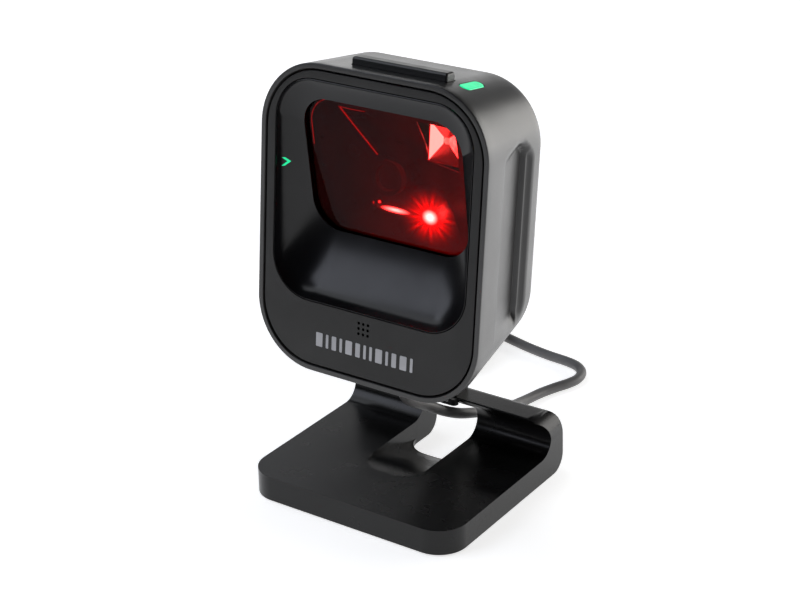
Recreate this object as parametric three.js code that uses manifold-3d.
// Presentation barcode scanner: an imager head on a curled desk stand, with its USB lead.
// Millimetres, +Z up. The head looks along -Y. The origin is on the table, midway between the
// stand's front edge and its back. Head parts are drawn in the head's own frame, whose origin is
// the middle of the front face, with Y as the depth behind that face, and the whole head is then
// leaned back about the tilt pin.
import * as THREE from 'three';
import { mergeVertices } from 'three/addons/utils/BufferGeometryUtils.js';
import Module from 'manifold-3d';

// ---- driving dimensions ----------------------------------------------------------------------
const GAP = 0.3; // clearance between pieces that touch on the real object

// Stand
const STAND_HALF_WIDTH = 41;
const STAND_FRONT = -36.8;
const STAND_REAR = 36.8;
const STAND_BOTTOM = 0.5; // the moulding stands this high on its feet
const STAND_TOP = 9.4; // top of the flat plate
const STAND_CORNER = 10.5; // front corners in plan
const CURL_RADIUS = 6.4; // inside radius of the curled back edge
const CURL_CENTRE_Y = 22;
const BRIDGE_TOP = 23.4;
const BRIDGE_UNDERSIDE = 19.6;
const LIP_Y = 23.8; // front lip of the curled edge
const BRIDGE_CORNER = 9; // top corners of the curl, seen from behind
const SLOT_HALF_WIDTH = 11.2; // cable opening
const SLOT_FRONT = 15.5; // front end of the through opening
const SLOT_CORNER = 8.5; // its front corners in plan
const RAMP_FRONT = -13.4; // where the scooped ramp leaves the plate's top
const RAMP_FOOT_Z = 2.6;
const POCKET_HALF_WIDTH = 36; // ballast pocket under the plate
const POCKET_FRONT = -33;
const POCKET_REAR = 17;
const POCKET_TOP = 6.6;
const CHANNEL_HALF_WIDTH = 13.2; // solid part of the plate around the ramp
const CHANNEL_FRONT = -16.5;
const FOOT_RADIUS = 5;
const FOOT_PLACES = [[-22, -18], [22, -18], [-23, 6], [23, 6]];
const NECK_SCREWS = [[0, 27.4], [0, 33]];
const SCREW_SEAT = 1.7; // depth of the counterbores that hold their heads
const BASE_SCREW_PLACES = [[-30, -27], [30, -27], [-31, 12], [31, 12]];

// Tilt joint, in the row frame and in the head's frame
const PIVOT_Y = 13.3;
const PIVOT_Z = 48.8;
const PIVOT_DEPTH = 38; // the pin's place behind the head's front face
const PIVOT_DROP = 46.5; // and below the head's middle
const HEAD_LEAN_DEG = 5.4;
const BARREL_RADIUS = 4.8;
const BARREL_HALF_LENGTH = 7.5;
const PIN_RADIUS = 2;
const PIN_CLEAR_RADIUS = 2.35;
const WASHER_THICKNESS = 0.8;
const EAR_THICKNESS = 2;
const EAR_RADIUS = 5.4;
const BRACKET_SCREWS = [[-15, 33.5], [15, 33.5]];

// Head shell
const HEAD_HALF_WIDTH = 43;
const HEAD_HALF_HEIGHT = 51.6;
const HEAD_CORNER = 22.5;
const RIM = 2; // width of the shell's edge seen from the front
const UNDERSIDE_SLOPE = 0.4; // rise of the underside per millimetre of depth
const UNDERSIDE_START = 3;
const GRIP_TOP = 33;
const GRIP_BOTTOM = -29.5;
const GRIP_FRONT = 9.8;
const GRIP_DEEPEST = 25.4;
const GRIP_REAR = 29.4;
const GRIP_DEPTH = 3;

// Front cover, hood and window
const BEZEL_INSET = 2.45; // from the head's outline, so a fine groove shows inside the rim
const BEZEL_FRONT = 0.3;
const BEZEL_BACK = 2.3;
const RECESS = { halfWidth: 37.4, top: 46.4, bottom: -27.6, radius: 14.4 };
const WINDOW = { halfWidth: 30, top: 39.5, bottom: -6.5, radius: 10 };
const WINDOW_TOP_DEPTH = 3.6;
const WINDOW_LEAN = 0.224; // depth gained per millimetre going down the window
const HOOD_WALL = 1.2;
const WINDOW_THICKNESS = 1.6;
const COVER_SCREW_X = 24;
const COVER_SCREW_Z = -32.6;
const SPEAKER_X = -0.5;
const SPEAKER_Z = -32.4;
const SPEAKER_PITCH = 1.8;
const SPEAKER_HOLE_RADIUS = 0.5;

// Optics
const CHAMBER_BACK = 24; // depth of the funnel-shaped chamber's small end
const LENS = [-7, 12.7];
const LED_PLACES = [[-5, 1], [8, 2], [16.5, 29.3]];
const AIMER = [-12.5, 3.2];
const REFLECTOR_FRONT = [17.5, 30];

// Button on top of the head
const BUTTON_LEFT = -13.5;
const BUTTON_RIGHT = 22;
const BUTTON_FRONT = 7.5;
const BUTTON_BACK = 12.2;
const BUTTON_TOP = 53.9;
const FLANGE_TOP = 47.6;
const FLANGE_BOTTOM = 46.1;

// Lead
const CABLE_RADIUS = 1.9;
const BOOT_DEPTH = 24; // depth of the lead's exit behind the front face
const BOOT_TOP = -46.8;
const BOOT_END = -56;
const COIL_X = -58;
const COIL_Y = 87.9;
const COIL_RADIUS = 23; // at the middle of its turns
const COIL_HALF_WIDTH = 10;
const COIL_BOTTOM = 0.4;
const COIL_HEIGHT = 7.6;
const PLUG_X = -38;
const PLUG_TAIL_Y = 78.4; // where the lead enters the plug's moulded tail
const PLUG_BODY_Y = 84;
const PLUG_BODY_LENGTH = 20;
const PLUG_BODY_HEIGHT = 7.6;
const PLUG_SHELL_LENGTH = 15.3;

const CORNER_STEPS = 5;
const SMALL_ROUND = 12; // sides of small round pieces

const wasm = await Module();
wasm.setup();

// ---- materials -------------------------------------------------------------------------------
function material(color, roughness, metalness = 0) {
  return new THREE.MeshStandardMaterial({ color, roughness, metalness });
}
const MATTE_BLACK = material(0x2f2e2e, 0.6);
const SATIN_BLACK = material(0x2a2a2b, 0.38);
const GLOSS_BLACK = material(0x111112, 0.12);
const DARK_GLASS = material(0x3a0c0d, 0.05);
const BLACK_RUBBER = material(0x1b1b1b, 0.85);
const STEEL = material(0xa9abad, 0.3, 1);
const DARK_STEEL = material(0x4a4b4d, 0.4, 1);
const BOARD_GREEN = material(0x1c4a2c, 0.5);
const WHITE_PLASTIC = material(0xd9d6d0, 0.5);
const GREEN_LIGHT = material(0x00d68f, 0.3);
const RED_LIGHT = material(0xff2b20, 0.3);
const LENS_GLASS = material(0x14181f, 0.05);
const CABLE_GREY = material(0x3c3b3b, 0.55);
const GOLD = material(0xb89a5a, 0.35, 1);

// ---- solids ----------------------------------------------------------------------------------
function toSolid(geometry) {
  const bare = geometry.clone();
  bare.deleteAttribute('normal');
  bare.deleteAttribute('uv');
  const merged = mergeVertices(bare, 1e-4);
  const mesh = new wasm.Mesh({
    numProp: 3,
    vertProperties: new Float32Array(merged.attributes.position.array),
    triVerts: new Uint32Array(merged.index.array),
  });
  return new wasm.Manifold(mesh);
}

function toGeometry(solid) {
  const mesh = solid.getMesh();
  const geometry = new THREE.BufferGeometry();
  geometry.setAttribute('position', new THREE.BufferAttribute(mesh.vertProperties, 3));
  geometry.setIndex(new THREE.BufferAttribute(mesh.triVerts, 1));
  geometry.computeVertexNormals();
  return geometry;
}

function cut(geometry, ...tools) {
  return toGeometry(tools.reduce((solid, tool) => solid.subtract(toSolid(tool)), toSolid(geometry)));
}

function join(geometry, ...others) {
  return toGeometry(others.reduce((solid, other) => solid.add(toSolid(other)), toSolid(geometry)));
}

function common(geometry, ...others) {
  return toGeometry(others.reduce((solid, other) => solid.intersect(toSolid(other)), toSolid(geometry)));
}

function box(x0, x1, y0, y1, z0, z1) {
  const geometry = new THREE.BoxGeometry(x1 - x0, y1 - y0, z1 - z0);
  return geometry.translate((x0 + x1) / 2, (y0 + y1) / 2, (z0 + z1) / 2);
}

// A rod along X, Y or Z between two places on that axis.
function rod(axis, radius, from, to, centre, sides = SMALL_ROUND) {
  const geometry = new THREE.CylinderGeometry(radius, radius, to - from, sides);
  const middle = (from + to) / 2;
  if (axis === 'x') {
    return geometry.rotateZ(-Math.PI / 2).translate(middle, centre[0], centre[1]);
  }
  if (axis === 'y') {
    return geometry.translate(centre[0], middle, centre[1]);
  }
  return geometry.rotateX(Math.PI / 2).translate(centre[0], centre[1], middle);
}

function tube(axis, outer, inner, from, to, centre, sides = SMALL_ROUND) {
  const bore = rod(axis, inner, from - 1, to + 1, centre, sides);
  return cut(rod(axis, outer, from, to, centre, sides), bore);
}

// A shape whose corners are rounded rectangles' corners, each with its own radius.
function roundedShape(x0, x1, y0, y1, lowRadius, highRadius) {
  const shape = new THREE.Shape();
  shape.absarc(x1 - lowRadius, y0 + lowRadius, lowRadius, -Math.PI / 2, 0);
  shape.absarc(x1 - highRadius, y1 - highRadius, highRadius, 0, Math.PI / 2);
  shape.absarc(x0 + highRadius, y1 - highRadius, highRadius, Math.PI / 2, Math.PI);
  shape.absarc(x0 + lowRadius, y0 + lowRadius, lowRadius, Math.PI, Math.PI * 1.5);
  return shape;
}

function polygon(points) {
  return new THREE.Shape(points.map(([x, y]) => new THREE.Vector2(x, y)));
}

function extrude(shape, depth, steps = CORNER_STEPS) {
  return new THREE.ExtrudeGeometry(shape, { depth, bevelEnabled: false, curveSegments: steps });
}

// The shape lies in the plan (x, y) and is raised from z0 to z1.
function planPrism(shape, z0, z1, steps) {
  return extrude(shape, z1 - z0, steps).translate(0, 0, z0);
}

// The shape lies in the side view (y, z) and runs from x0 to x1.
function sidePrism(shape, x0, x1, steps) {
  const turn = new THREE.Matrix4().makeBasis(
    new THREE.Vector3(0, 1, 0),
    new THREE.Vector3(0, 0, 1),
    new THREE.Vector3(1, 0, 0),
  );
  return extrude(shape, x1 - x0, steps).applyMatrix4(turn).translate(x0, 0, 0);
}

// The shape lies in the front view (x, z) and runs from y0 to y1.
function frontPrism(shape, y0, y1, steps) {
  return extrude(shape, y1 - y0, steps).rotateX(Math.PI / 2).translate(0, y1, 0);
}

// A ring of points on a rounded rectangle in the front view; depthAt gives each point's depth.
function ring({ halfWidth, top, bottom, radius }, depthAt) {
  const corners = [
    [halfWidth - radius, top - radius],
    [radius - halfWidth, top - radius],
    [radius - halfWidth, bottom + radius],
    [halfWidth - radius, bottom + radius],
  ];
  const points = [];
  corners.forEach(([x, z], quarter) => {
    for (let step = 0; step <= CORNER_STEPS; step += 1) {
      const angle = (quarter + step / CORNER_STEPS) * (Math.PI / 2);
      const pz = z + radius * Math.sin(angle);
      points.push(new THREE.Vector3(x + radius * Math.cos(angle), depthAt(pz), pz));
    }
  });
  return points;
}

function grown(outline, by) {
  return {
    halfWidth: outline.halfWidth + by,
    top: outline.top + by,
    bottom: outline.bottom - by,
    radius: outline.radius + by,
  };
}

// Skins a row of rings. A loop joins the last ring to the first; otherwise both ends are capped.
function skin(rings, isLoop) {
  const count = rings[0].length;
  const vertices = rings.flat();
  const faces = [];
  const spans = isLoop ? rings.length : rings.length - 1;
  for (let r = 0; r < spans; r += 1) {
    const a = r * count;
    const b = ((r + 1) % rings.length) * count;
    for (let i = 0; i < count; i += 1) {
      const j = (i + 1) % count;
      faces.push(a + i, b + i, a + j, b + i, b + j, a + j);
    }
  }
  if (!isLoop) {
    const last = (rings.length - 1) * count;
    for (let i = 1; i < count - 1; i += 1) {
      faces.push(0, i, i + 1);
      faces.push(last, last + i + 1, last + i);
    }
  }
  const geometry = new THREE.BufferGeometry().setFromPoints(vertices);
  geometry.setIndex(faces);
  geometry.computeVertexNormals();
  return geometry;
}

// A turned piece about the Z axis from [radius, z] points that start and end on the axis.
function turned(points, sides = SMALL_ROUND) {
  const profile = points.map(([radius, z]) => new THREE.Vector2(radius, z));
  return new THREE.LatheGeometry(profile, sides).rotateX(Math.PI / 2);
}

// ---- scene graph -----------------------------------------------------------------------------
const scanner = new THREE.Group();
const tiltFrame = new THREE.Group();
tiltFrame.position.set(0, PIVOT_Y, PIVOT_Z);
tiltFrame.rotation.x = THREE.MathUtils.degToRad(-HEAD_LEAN_DEG);
const head = new THREE.Group();
head.position.set(0, -PIVOT_DEPTH, PIVOT_DROP);
tiltFrame.add(head);
scanner.add(tiltFrame);

function place(parent, name, geometry, finish) {
  const mesh = new THREE.Mesh(geometry, finish);
  mesh.name = name;
  parent.add(mesh);
}

// ---- stand -----------------------------------------------------------------------------------
// Side view of the moulding: a flat plate whose back edge curls up and forward into a bridge.
function standProfile() {
  const shape = new THREE.Shape();
  const heelRadius = 6;
  const shoulderRadius = 4;
  const noseRadius = 1.6;
  shape.moveTo(STAND_FRONT + 0.8, STAND_BOTTOM);
  shape.lineTo(STAND_REAR - heelRadius, STAND_BOTTOM);
  shape.absarc(STAND_REAR - heelRadius, STAND_BOTTOM + heelRadius, heelRadius, -Math.PI / 2, 0);
  shape.lineTo(STAND_REAR - 0.6, BRIDGE_TOP - shoulderRadius);
  shape.absarc(STAND_REAR - 0.6 - shoulderRadius, BRIDGE_TOP - shoulderRadius, shoulderRadius, 0, Math.PI / 2);
  shape.lineTo(LIP_Y + 1.2, BRIDGE_TOP - 0.2);
  shape.lineTo(LIP_Y, BRIDGE_TOP - 1);
  shape.lineTo(LIP_Y + 0.2, STAND_TOP + CURL_RADIUS + 5.95);
  shape.absarc(CURL_CENTRE_Y, STAND_TOP + CURL_RADIUS, CURL_RADIUS, 1.2, -Math.PI / 2, true);
  shape.lineTo(STAND_FRONT + noseRadius, STAND_TOP);
  shape.absarc(STAND_FRONT + noseRadius, STAND_TOP - noseRadius, noseRadius, Math.PI / 2, Math.PI);
  shape.lineTo(STAND_FRONT, STAND_BOTTOM + 0.8);
  return shape;
}

function pocketShape(inset) {
  const outer = POCKET_HALF_WIDTH - inset;
  const inner = CHANNEL_HALF_WIDTH + inset;
  return polygon([
    [-outer + 6, POCKET_FRONT + inset],
    [outer - 6, POCKET_FRONT + inset],
    [outer, POCKET_FRONT + inset + 6],
    [outer, POCKET_REAR - inset],
    [inner, POCKET_REAR - inset],
    [inner, CHANNEL_FRONT - inset],
    [-inner, CHANNEL_FRONT - inset],
    [-inner, POCKET_REAR - inset],
    [-outer, POCKET_REAR - inset],
    [-outer, POCKET_FRONT + inset + 6],
  ]);
}

function slotTools() {
  const above = BRIDGE_TOP + 5;
  const opening = roundedShape(-SLOT_HALF_WIDTH, SLOT_HALF_WIDTH, SLOT_FRONT, STAND_REAR + 5, SLOT_CORNER, 0.5);
  const through = planPrism(opening, STAND_BOTTOM - 2, BRIDGE_UNDERSIDE);
  const scoopEnd = SLOT_FRONT + SLOT_CORNER;
  const scoopPlan = roundedShape(-SLOT_HALF_WIDTH, SLOT_HALF_WIDTH, RAMP_FRONT, scoopEnd, 9.8, 0.5);
  const rampSide = new THREE.Shape();
  rampSide.moveTo(RAMP_FRONT, STAND_TOP);
  rampSide.quadraticCurveTo(RAMP_FRONT + 14, STAND_TOP - 0.6, SLOT_FRONT, RAMP_FOOT_Z);
  rampSide.lineTo(scoopEnd, RAMP_FOOT_Z);
  rampSide.lineTo(scoopEnd, BRIDGE_UNDERSIDE);
  rampSide.lineTo(RAMP_FRONT, BRIDGE_UNDERSIDE);
  const scoop = common(planPrism(scoopPlan, 0, above), sidePrism(rampSide, -20, 20, 4));
  return [through, scoop];
}

function standBody() {
  const plan = roundedShape(-STAND_HALF_WIDTH, STAND_HALF_WIDTH, STAND_FRONT, STAND_REAR + 1, STAND_CORNER, 1);
  const rear = roundedShape(-STAND_HALF_WIDTH, STAND_HALF_WIDTH, 0, BRIDGE_TOP, 0.4, BRIDGE_CORNER);
  const blank = common(
    sidePrism(standProfile(), -STAND_HALF_WIDTH, STAND_HALF_WIDTH, 6),
    planPrism(plan, -1, BRIDGE_TOP + 1),
    frontPrism(rear, STAND_FRONT - 1, STAND_REAR + 1),
  );
  const pocket = planPrism(pocketShape(0), -1, POCKET_TOP);
  const bosses = BASE_SCREW_PLACES.map((at) => rod('z', 2.7, 2.4, POCKET_TOP + 0.5, at, 8));
  const bores = BASE_SCREW_PLACES.map((at) => rod('z', 1.4, 1, POCKET_TOP - 0.6, at, 6));
  const neckBores = NECK_SCREWS.map((at) => rod('z', 1.6, BRIDGE_UNDERSIDE - 4, BRIDGE_TOP + 2, at, 8));
  const seatTop = BRIDGE_UNDERSIDE + SCREW_SEAT;
  const neckSeats = NECK_SCREWS.map((at) => rod('z', 2.7, BRIDGE_UNDERSIDE - 4, seatTop, at, 10));
  const hollow = cut(blank, pocket, ...slotTools(), ...neckBores, ...neckSeats);
  return cut(join(hollow, ...bosses), ...bores);
}

function baseCover() {
  const sinks = BASE_SCREW_PLACES.map((at) => rod('z', 2.6, 0, 1.5, at, 10));
  const holes = BASE_SCREW_PLACES.map((at) => rod('z', 1.4, 0, 3, at, 6));
  const recesses = FOOT_PLACES.map((at) => rod('z', FOOT_RADIUS + GAP, 0, 1.1, at, 16));
  return cut(planPrism(pocketShape(GAP), 0.6, 2.1), ...sinks, ...holes, ...recesses);
}

function ballastPlate() {
  const clear = BASE_SCREW_PLACES.map((at) => rod('z', 3.3, 0, 9, at, 10));
  return cut(planPrism(pocketShape(1.5), 2.4, POCKET_TOP - GAP), ...clear);
}

function baseScrew(at) {
  const head = rod('z', 2.3, 0.65, 1.2, at, 10);
  return join(head, rod('z', 1.1, 1, POCKET_TOP - 1, at, 6));
}

place(scanner, 'stand_body', standBody(), GLOSS_BLACK);
place(scanner, 'base_cover', baseCover(), MATTE_BLACK);
place(scanner, 'ballast_plate', ballastPlate(), DARK_STEEL);
FOOT_PLACES.forEach((at, i) => {
  place(scanner, `rubber_foot_${i + 1}`, rod('z', FOOT_RADIUS, 0, 0.8, at, 16), BLACK_RUBBER);
});
BASE_SCREW_PLACES.forEach((at, i) => {
  place(scanner, `base_screw_${i + 1}`, baseScrew(at), STEEL);
});

// ---- neck and tilt joint ---------------------------------------------------------------------
// The neck stands on the bridge and curves forward to a barrel that the head's bracket clasps.
function neckArm() {
  const foot = BRIDGE_TOP + GAP;
  const side = new THREE.Shape();
  side.moveTo(25.2, foot);
  side.lineTo(35, foot);
  side.lineTo(34.6, foot + 6);
  side.quadraticCurveTo(31, 42, PIVOT_Y + 3.6, PIVOT_Z + 3);
  side.lineTo(PIVOT_Y - 2.5, PIVOT_Z - 3.8);
  side.quadraticCurveTo(24.5, 40.5, 25.2, foot + 4);
  const halfWidths = [[4, foot], [4.2, 27.5], [7.5, 43], [7.5, 60]];
  const front = polygon([...halfWidths, ...halfWidths.map(([x, z]) => [-x, z]).reverse()]);
  const stalk = common(sidePrism(side, -10, 10, 6), frontPrism(front, -5, 45));
  const barrel = rod('x', BARREL_RADIUS, -BARREL_HALF_LENGTH, BARREL_HALF_LENGTH, [PIVOT_Y, PIVOT_Z], 16);
  const bore = rod('x', PIN_CLEAR_RADIUS, -12, 12, [PIVOT_Y, PIVOT_Z], 12);
  const screwBores = NECK_SCREWS.map((at) => rod('z', 1.45, BRIDGE_TOP, BRIDGE_TOP + 7.5, at, 8));
  return cut(join(stalk, barrel), bore, ...screwBores);
}

function neckScrew(at) {
  const seat = BRIDGE_UNDERSIDE + SCREW_SEAT;
  const head = rod('z', 2.4, seat - 1.9, seat - GAP, at, 10);
  return join(head, rod('z', 1.15, seat - 1, BRIDGE_TOP + 7, at, 8));
}

function washer(side) {
  const from = BARREL_HALF_LENGTH + GAP;
  const to = from + WASHER_THICKNESS;
  const [low, high] = side > 0 ? [from, to] : [-to, -from];
  return tube('x', 4.4, PIN_CLEAR_RADIUS, low, high, [PIVOT_Y, PIVOT_Z], 16);
}

const EAR_INSIDE = BARREL_HALF_LENGTH + GAP + WASHER_THICKNESS + GAP;
const EAR_OUTSIDE = EAR_INSIDE + EAR_THICKNESS;

function hingePin() {
  const at = [PIVOT_Y, PIVOT_Z];
  const shank = rod('x', PIN_RADIUS, -EAR_OUTSIDE - 2.6, EAR_OUTSIDE + 1, at);
  return join(shank, rod('x', 3.6, EAR_OUTSIDE + GAP, EAR_OUTSIDE + 2.1, at, 14));
}

place(scanner, 'neck_arm', neckArm(), SATIN_BLACK);
NECK_SCREWS.forEach((at, i) => {
  place(scanner, `neck_screw_${i + 1}`, neckScrew(at), STEEL);
});
place(scanner, 'hinge_pin', hingePin(), STEEL);
place(scanner, 'friction_washer_left', washer(-1), BLACK_RUBBER);
place(scanner, 'friction_washer_right', washer(1), BLACK_RUBBER);
place(
  scanner,
  'hinge_nut',
  tube('x', 3.6, PIN_CLEAR_RADIUS, -EAR_OUTSIDE - 2.4, -EAR_OUTSIDE - GAP, [PIVOT_Y, PIVOT_Z], 6),
  STEEL,
);

// ---- head shell ------------------------------------------------------------------------------
function undersideAt(depth) {
  return -HEAD_HALF_HEIGHT + UNDERSIDE_SLOPE * Math.max(0, depth - UNDERSIDE_START);
}

function shellRing(depth, halfWidth, top, bottom, radius) {
  return ring({ halfWidth, top, bottom, radius }, () => depth);
}

function shellOutside() {
  return skin([
    shellRing(0, HEAD_HALF_WIDTH, HEAD_HALF_HEIGHT, -HEAD_HALF_HEIGHT, HEAD_CORNER),
    shellRing(UNDERSIDE_START, 42.9, 51.5, -HEAD_HALF_HEIGHT, HEAD_CORNER),
    shellRing(33, 41.5, 50, undersideAt(33), 21),
    shellRing(35.6, 40.2, 48.8, -37.8, 20),
    shellRing(37.6, 37.5, 46.2, -34.8, 18),
    shellRing(40, 31, 40, -28.6, 14),
    shellRing(41.5, 24, 33, -22, 10),
  ], false);
}

function shellInside() {
  return skin([
    shellRing(-1, HEAD_HALF_WIDTH - RIM, HEAD_HALF_HEIGHT - RIM, RIM - HEAD_HALF_HEIGHT, HEAD_CORNER - RIM),
    shellRing(4, 40.8, 49.3, -49.3, 20.3),
    shellRing(8, 40.4, 49, -47.3, 20),
    shellRing(14, 37, 48.4, -45, 17),
    shellRing(33, 36.2, 46.8, -37, 16),
    shellRing(38, 30, 40, -30, 12),
  ], false);
}

function gripTool(side) {
  const deep = HEAD_HALF_WIDTH - 1.4 - GRIP_DEPTH;
  const wedge = polygon([
    [side * (HEAD_HALF_WIDTH - 0.45), GRIP_FRONT],
    [side * deep, GRIP_DEEPEST],
    [side * (HEAD_HALF_WIDTH - 1.25), GRIP_REAR],
    [side * (HEAD_HALF_WIDTH + 3), GRIP_REAR],
    [side * (HEAD_HALF_WIDTH + 3), GRIP_FRONT],
  ]);
  return planPrism(wedge, GRIP_BOTTOM, GRIP_TOP);
}

function rearHousing() {
  const outside = shellOutside();
  const coverBosses = [-1, 1].map((side) =>
    rod('y', 4.2, 22.4, 45, [side * COVER_SCREW_X, COVER_SCREW_Z], 12));
  const bracketBosses = BRACKET_SCREWS.map((at) => rod('z', 3.2, -44, -32.5, at, 10));
  const bosses = [...coverBosses, ...bracketBosses].map((boss) => common(boss, outside));
  const tub = cut(outside, shellInside(), gripTool(-1), gripTool(1));
  const bores = [-1, 1].flatMap((side) => [
    rod('y', 1.6, 20, 30, [side * COVER_SCREW_X, COVER_SCREW_Z], 8),
    rod('y', 3.1, 28, 50, [side * COVER_SCREW_X, COVER_SCREW_Z], 12),
  ]);
  const bracketBores = BRACKET_SCREWS.map((at) => rod('z', 1.6, -50, -31, at, 8));
  const buttonSlot = box(
    BUTTON_LEFT - 0.6, BUTTON_RIGHT + 0.6, BUTTON_FRONT - 0.6, BUTTON_BACK + 0.6, 45, 60);
  const lightSlot = box(24.9, 28.7, 8.7, 19.8, 44, 60);
  const leadHole = box(-6.2, 6.2, BOOT_DEPTH - 5, BOOT_DEPTH + 5, -60, -38);
  return cut(join(tub, ...bosses), ...bores, ...bracketBores, buttonSlot, lightSlot, leadHole);
}

// A U bracket under the head: a plate along the sloping underside and two ears round the pin.
function hingeBracket() {
  const reach = (depth, below) => [depth, undersideAt(depth) - below];
  const plate = sidePrism(polygon([reach(30.5, 2), reach(37, 2), reach(37, 0.35), reach(30.5, 0.35)]), -19, 19);
  const ear = new THREE.Shape();
  ear.moveTo(31.5, undersideAt(31.5) - 1);
  ear.absarc(PIVOT_DEPTH, -PIVOT_DROP, EAR_RADIUS, Math.PI * 1.12, Math.PI * 2.2);
  ear.lineTo(37, undersideAt(37) - 1);
  const ears = [-1, 1].map((side) => {
    const [x0, x1] = side > 0 ? [EAR_INSIDE, EAR_OUTSIDE] : [-EAR_OUTSIDE, -EAR_INSIDE];
    return sidePrism(ear, x0, x1, 12);
  });
  const bore = rod('x', PIN_CLEAR_RADIUS, -20, 20, [PIVOT_DEPTH, -PIVOT_DROP], 12);
  const holes = BRACKET_SCREWS.map((at) => rod('z', 1.6, -50, -30, at, 8));
  return cut(join(plate, ...ears), bore, ...holes);
}

function bracketScrew(at) {
  const under = undersideAt(at[1]) - 3.4;
  return join(rod('z', 2.5, under - 1.4, under, at, 10), rod('z', 1.25, under - 0.5, -33.4, at, 8));
}

place(head, 'rear_housing', rearHousing(), SATIN_BLACK);
place(head, 'hinge_bracket', hingeBracket(), DARK_STEEL);
BRACKET_SCREWS.forEach((at, i) => {
  place(head, `bracket_screw_${i + 1}`, bracketScrew(at), STEEL);
});

// ---- front cover, hood and window ------------------------------------------------------------
const HEAD_OUTLINE = {
  halfWidth: HEAD_HALF_WIDTH,
  top: HEAD_HALF_HEIGHT,
  bottom: -HEAD_HALF_HEIGHT,
  radius: HEAD_CORNER,
};

function windowDepth(z, behind = 0) {
  return WINDOW_TOP_DEPTH + (WINDOW.top - z) * WINDOW_LEAN + behind;
}

function flatRing(outline, depth) {
  return ring(outline, () => depth);
}

function frontBezel() {
  const outline = grown(HEAD_OUTLINE, -BEZEL_INSET);
  const plate = skin([
    flatRing(outline, BEZEL_FRONT),
    flatRing(outline, BEZEL_BACK),
    flatRing(RECESS, BEZEL_BACK),
    flatRing(RECESS, BEZEL_FRONT),
  ], true);
  const posts = [-1, 1].map((side) =>
    rod('y', 3, BEZEL_BACK - 0.5, 22, [side * COVER_SCREW_X, COVER_SCREW_Z], 12));
  const bores = [-1, 1].map((side) =>
    rod('y', 1.6, 10, 23, [side * COVER_SCREW_X, COVER_SCREW_Z], 8));
  const speakerHoles = [];
  for (let column = -1; column <= 1; column += 1) {
    for (let row = -1; row <= 1; row += 1) {
      const at = [SPEAKER_X + column * SPEAKER_PITCH, SPEAKER_Z + row * SPEAKER_PITCH];
      speakerHoles.push(rod('y', SPEAKER_HOLE_RADIUS, -1, 4, at, 6));
    }
  }
  return cut(join(plate, ...posts), ...bores, ...speakerHoles);
}

// The glossy funnel between the recess and the window; its lower side is a deep scoop.
function windowHood() {
  const front = grown(RECESS, -GAP);
  const middle = { halfWidth: 33, top: 42.6, bottom: -17.5, radius: 12 };
  const middleDepth = (z) => 2.4 + (middle.top - z) * 0.128;
  const hood = skin([
    flatRing(front, BEZEL_FRONT + 0.1),
    flatRing(front, 1.6),
    ring(grown(middle, HOOD_WALL), (z) => middleDepth(z) + HOOD_WALL),
    ring(grown(WINDOW, HOOD_WALL), (z) => windowDepth(z, HOOD_WALL)),
    ring(WINDOW, (z) => windowDepth(z)),
    ring(middle, middleDepth),
    flatRing(grown(front, -0.9), BEZEL_FRONT + 0.1),
  ], true);
  return cut(hood, box(-40, -32.6, 1.9, 5.1, 15.2, 18.8));
}

function scanWindow() {
  const outline = grown(WINDOW, HOOD_WALL);
  const front = HOOD_WALL + GAP;
  return skin([
    ring(outline, (z) => windowDepth(z, front)),
    ring(outline, (z) => windowDepth(z, front + WINDOW_THICKNESS)),
  ], false);
}

function windowGasket() {
  const outer = grown(WINDOW, 1.8);
  const inner = grown(WINDOW, -0.6);
  return skin([
    ring(outer, (z) => windowDepth(z, 3.4)),
    ring(outer, (z) => windowDepth(z, 4.3)),
    ring(inner, (z) => windowDepth(z, 4.3)),
    ring(inner, (z) => windowDepth(z, 3.4)),
  ], true);
}

function coverScrew(side) {
  const at = [side * COVER_SCREW_X, COVER_SCREW_Z];
  return join(rod('y', 2.8, 28.3, 30.4, at, 12), rod('y', 1.3, 12, 29, at, 8));
}

place(head, 'front_bezel', frontBezel(), MATTE_BLACK);
place(head, 'window_hood', windowHood(), GLOSS_BLACK);
place(head, 'scan_window', scanWindow(), DARK_GLASS);
place(head, 'window_gasket', windowGasket(), BLACK_RUBBER);
place(head, 'good_read_light', box(-37, -33.6, 2.7, 4.8, 15.5, 18.5), GREEN_LIGHT);
place(head, 'cover_screw_left', coverScrew(-1), STEEL);
place(head, 'cover_screw_right', coverScrew(1), STEEL);

// ---- optics ----------------------------------------------------------------------------------
function squareRing([x, z], half, radius, depth) {
  return ring({ halfWidth: half, top: half, bottom: -half, radius }, () => depth)
    .map((point) => point.add(new THREE.Vector3(x, 0, z)));
}

// A dark funnel from the window's edge to the lens, with holes for the lamps.
function opticsFrame() {
  const mouth = grown(WINDOW, -0.4);
  const wall = 1.4;
  const funnel = skin([
    ring(mouth, (z) => windowDepth(z, 4.6)),
    ring(grown(mouth, wall), (z) => windowDepth(z, 4.6 + wall)),
    squareRing(LENS, 6.6 + wall, 2, CHAMBER_BACK + wall),
    squareRing(LENS, 6.6, 1.6, CHAMBER_BACK),
  ], true);
  const lamps = LED_PLACES.slice(0, 2).map(([x, z]) => box(x - 3, x + 3, 0, 40, z - 3, z + 3));
  const [x, z] = REFLECTOR_FRONT;
  const reflectorHole = box(x - 6.6, x + 6.6, 0, 40, z - 6.6, z + 6.6);
  return cut(funnel, ...lamps, reflectorHole, rod('y', 2.6, 0, 40, AIMER, 10));
}

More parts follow.
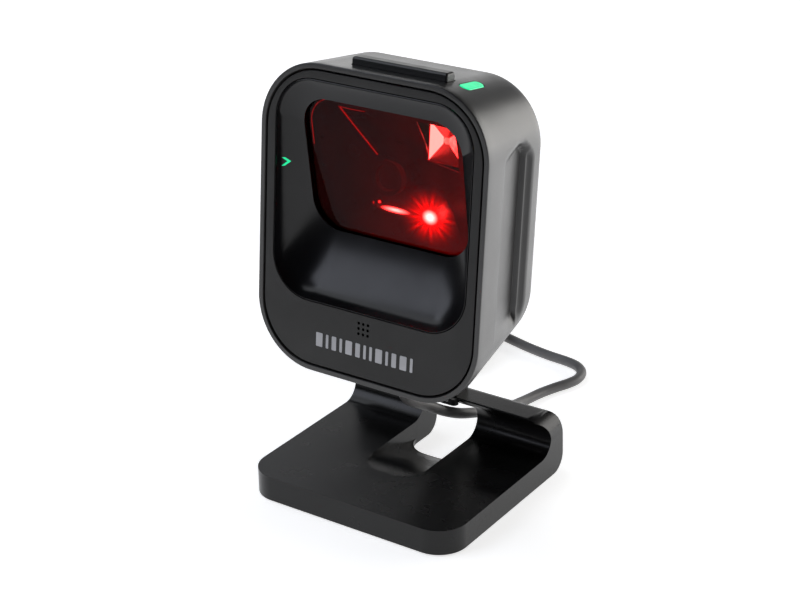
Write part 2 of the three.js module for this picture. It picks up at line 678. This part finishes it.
function ledReflector() {
  const front = CHAMBER_BACK - 8.5;
  const back = CHAMBER_BACK - GAP;
  return skin([
    squareRing(REFLECTOR_FRONT, 6.2, 0.6, front),
    squareRing(LED_PLACES[2], 4.1, 0.6, back),
    squareRing(LED_PLACES[2], 3.2, 0.6, back),
    squareRing(REFLECTOR_FRONT, 5.3, 0.6, front),
  ], true);
}

function cameraBarrel() {
  const from = CHAMBER_BACK - 4;
  return cut(
    rod('y', 6, from, 33, LENS, 20),
    rod('y', 4.4, from - 1, from + 4, LENS, 16),
    rod('y', 3, from - 1, 34, LENS, 12),
  );
}

function illuminationBoard() {
  const board = box(-28, 28, CHAMBER_BACK + 1.9, CHAMBER_BACK + 3.2, -6, 38);
  return cut(board, rod('y', 6.9, 0, 60, LENS, 16));
}

function cameraBoard() {
  const [x, z] = LENS;
  return box(x - 11, x + 11, 33.3, 34.5, z - 11, z + 11);
}

place(head, 'optics_frame', opticsFrame(), MATTE_BLACK);
place(head, 'illumination_board', illuminationBoard(), BOARD_GREEN);
LED_PLACES.forEach(([x, z], i) => {
  const led = box(x - 2.5, x + 2.5, CHAMBER_BACK + 0.1, CHAMBER_BACK + 1.6, z - 2.5, z + 2.5);
  place(head, `illumination_led_${i + 1}`, led, RED_LIGHT);
});
place(head, 'led_reflector', ledReflector(), WHITE_PLASTIC);
place(head, 'aiming_led', rod('y', 2.2, CHAMBER_BACK - 2, CHAMBER_BACK + 1.6, AIMER, 12), RED_LIGHT);
place(head, 'camera_barrel', cameraBarrel(), SATIN_BLACK);
place(head, 'camera_lens', rod('y', 4, CHAMBER_BACK - 2.6, CHAMBER_BACK - GAP, LENS, 16), LENS_GLASS);
place(head, 'camera_board', cameraBoard(), BOARD_GREEN);
place(head, 'main_board', box(-26, 26, 35.6, 37, -24, 33), BOARD_GREEN);

// ---- sounder, lights and button --------------------------------------------------------------
place(head, 'speaker_mesh', rod('y', 3.8, BEZEL_BACK + GAP, 3, [SPEAKER_X, SPEAKER_Z], 16), DARK_STEEL);
place(head, 'beeper', rod('y', 4.6, 3.4, 9, [SPEAKER_X, SPEAKER_Z], 16), BLACK_RUBBER);
const lightPipe = polygon([[25.2, 45.6], [28.4, 45.6], [28.4, 49.6], [25.2, 50.6]]);
place(head, 'status_light_pipe', frontPrism(lightPipe, 9, 19.5), GREEN_LIGHT);
place(head, 'status_led', box(25.3, 28.3, 9.5, 12.5, 43.1, 45.2), WHITE_PLASTIC);
place(head, 'button_board', box(-12, 30, 7, 13.4, 41.7, 42.8), BOARD_GREEN);

function triggerButton() {
  const cap = box(BUTTON_LEFT, BUTTON_RIGHT, BUTTON_FRONT, BUTTON_BACK, FLANGE_TOP - 1, BUTTON_TOP);
  const flange = box(BUTTON_LEFT - 1.8, BUTTON_RIGHT + 1.8, 5.9, 13.8, FLANGE_BOTTOM, FLANGE_TOP);
  return join(cap, flange);
}

// The key switch under the button, with its nub a little below the button's flange.
function triggerSwitch() {
  const body = box(1.2, 7.2, 7.6, 12.6, 43.1, 44.6);
  return join(body, rod('z', 1.3, 44.2, 45.2, [4.2, 10], 10));
}

function springWire() {
  const points = [];
  const turns = 3;
  const pointsPerTurn = 8;
  for (let i = 0; i <= turns * pointsPerTurn; i += 1) {
    const angle = (i / pointsPerTurn) * Math.PI * 2;
    const rise = (i / (turns * pointsPerTurn)) * 2.2;
    points.push(new THREE.Vector3(-6 + 1.7 * Math.cos(angle), 10 + 1.7 * Math.sin(angle), 43.4 + rise));
  }
  const wire = new THREE.Shape().absarc(0, 0, 0.25, 0, Math.PI * 2);
  return new THREE.ExtrudeGeometry(wire, {
    steps: turns * pointsPerTurn,
    curveSegments: 3,
    bevelEnabled: false,
    extrudePath: new THREE.CatmullRomCurve3(points),
  });
}

place(head, 'trigger_button', triggerButton(), SATIN_BLACK);
place(head, 'trigger_switch', triggerSwitch(), BLACK_RUBBER);
place(head, 'trigger_spring', springWire(), STEEL);

// ---- lead ------------------------------------------------------------------------------------
function cableSocket() {
  return cut(box(-7.6, 7.6, 17, 31, -37, -25), box(-5.7, 5.7, 18.9, 29.1, -50, -27.2));
}

// The strain relief: a tapered rubber boot under the modular plug.
function strainRelief() {
  const boot = turned([[0, BOOT_END], [2.6, BOOT_END], [4.4, BOOT_TOP], [0, BOOT_TOP]], 14);
  return boot.translate(0, BOOT_DEPTH, 0);
}

place(head, 'cable_socket', cableSocket(), WHITE_PLASTIC);
place(head, 'cable_plug', box(-5.3, 5.3, 19.3, 28.7, BOOT_TOP + GAP, -27.6), SATIN_BLACK);
place(head, 'strain_relief', strainRelief(), BLACK_RUBBER);

// The lead leaves the boot, sags through the stand's opening, goes back along the table and
// swings left to the coil behind the stand.
const LEAD_ROUTE = [
  [0, -1.6, 40.3],
  [0, -1.8, 36.9],
  [0, -0.5, 33.4],
  [0, 2, 30.5],
  [0, 5.3, 28.1],
  [0, 8.9, 26],
  [0.3, 12.4, 23.9],
  [1.5, 16.5, 21.3],
  [3.2, 20.6, 18.8],
  [5, 27, 15.7],
  [6.2, 36.5, 12.2],
  [6.8, 46, 8.8],
  [6.8, 55, 6],
  [6.5, 64, 3.8],
  [6.6, 72, 2.4],
  [7.7, 79.5, 1.95],
  [10.1, 86.4, 1.95],
  [12.5, 92.2, 1.95],
  [13.5, 97.2, 1.95],
  [12.2, 102.6, 1.95],
  [8.3, 106.5, 1.95],
  [2.5, 108.2, 1.95],
  [-6, 109.1, 1.95],
  [-16, 111, 1.95],
  [-26, 113.7, 1.95],
  [-36, 116.3, 1.95],
];

function cableRun() {
  const curve = new THREE.CatmullRomCurve3(LEAD_ROUTE.map((point) => new THREE.Vector3(...point)));
  const sides = 8;
  const section = [];
  for (let i = 0; i < sides; i += 1) {
    const angle = ((i + 0.5) / sides) * Math.PI * 2;
    section.push([CABLE_RADIUS * Math.cos(angle), CABLE_RADIUS * Math.sin(angle)]);
  }
  return new THREE.ExtrudeGeometry(polygon(section), {
    steps: 48,
    bevelEnabled: false,
    extrudePath: curve,
  });
}

function cableCoil() {
  const inner = COIL_RADIUS - COIL_HALF_WIDTH;
  const outer = COIL_RADIUS + COIL_HALF_WIDTH;
  const top = COIL_BOTTOM + COIL_HEIGHT;
  const edge = 1.4;
  const loop = [
    [inner, COIL_BOTTOM + edge],
    [inner + edge, COIL_BOTTOM],
    [outer - edge, COIL_BOTTOM],
    [outer, COIL_BOTTOM + edge],
    [outer, top - edge],
    [outer - edge, top],
    [inner + edge, top],
    [inner, top - edge],
    [inner, COIL_BOTTOM + edge],
  ];
  return turned(loop, 24).translate(COIL_X, COIL_Y, 0);
}

// A hook-and-loop strap round the coil's bundle, on the side away from the incoming lead.
function coilTie() {
  const half = 4.5;
  const thickness = 0.7;
  const low = COIL_BOTTOM - GAP;
  const high = COIL_BOTTOM + COIL_HEIGHT + GAP;
  const far = COIL_X - COIL_RADIUS - COIL_HALF_WIDTH - GAP;
  const near = COIL_X + GAP - Math.sqrt((COIL_RADIUS - COIL_HALF_WIDTH) ** 2 - half ** 2);
  const outer = box(far - thickness, near + thickness, COIL_Y - half, COIL_Y + half, 0.05, high + thickness);
  return cut(outer, box(far, near, COIL_Y - 9, COIL_Y + 9, low, high));
}

const PLUG_BOTTOM = COIL_BOTTOM + COIL_HEIGHT + GAP;
const PLUG_MIDDLE = PLUG_BOTTOM + PLUG_BODY_HEIGHT / 2;

function usbPlugBody() {
  const shape = roundedShape(PLUG_X - 7.8, PLUG_X + 7.8, PLUG_BOTTOM, PLUG_BOTTOM + PLUG_BODY_HEIGHT, 2, 2);
  const body = frontPrism(shape, PLUG_BODY_Y, PLUG_BODY_Y + PLUG_BODY_LENGTH, 3);
  const tail = new THREE.CylinderGeometry(3.4, 2.5, PLUG_BODY_Y - PLUG_TAIL_Y + 1, SMALL_ROUND);
  return join(body, tail.translate(PLUG_X, (PLUG_BODY_Y + PLUG_TAIL_Y + 1) / 2, PLUG_MIDDLE));
}

function usbPlugShell() {
  const y0 = PLUG_BODY_Y + PLUG_BODY_LENGTH + GAP;
  const y1 = y0 + PLUG_SHELL_LENGTH;
  const shell = box(PLUG_X - 6, PLUG_X + 6, y0, y1, PLUG_MIDDLE - 2.25, PLUG_MIDDLE + 2.25);
  const mouth = box(PLUG_X - 5.6, PLUG_X + 5.6, y0 + 2, y1 + 1, PLUG_MIDDLE - 0.2, PLUG_MIDDLE + 1.9);
  return cut(shell, mouth);
}

place(scanner, 'cable_run', cableRun(), CABLE_GREY);
place(scanner, 'cable_coil', cableCoil(), CABLE_GREY);
place(scanner, 'coil_tie', coilTie(), BLACK_RUBBER);
place(scanner, 'usb_plug_body', usbPlugBody(), SATIN_BLACK);
place(scanner, 'usb_plug_shell', usbPlugShell(), GOLD);

export default scanner;
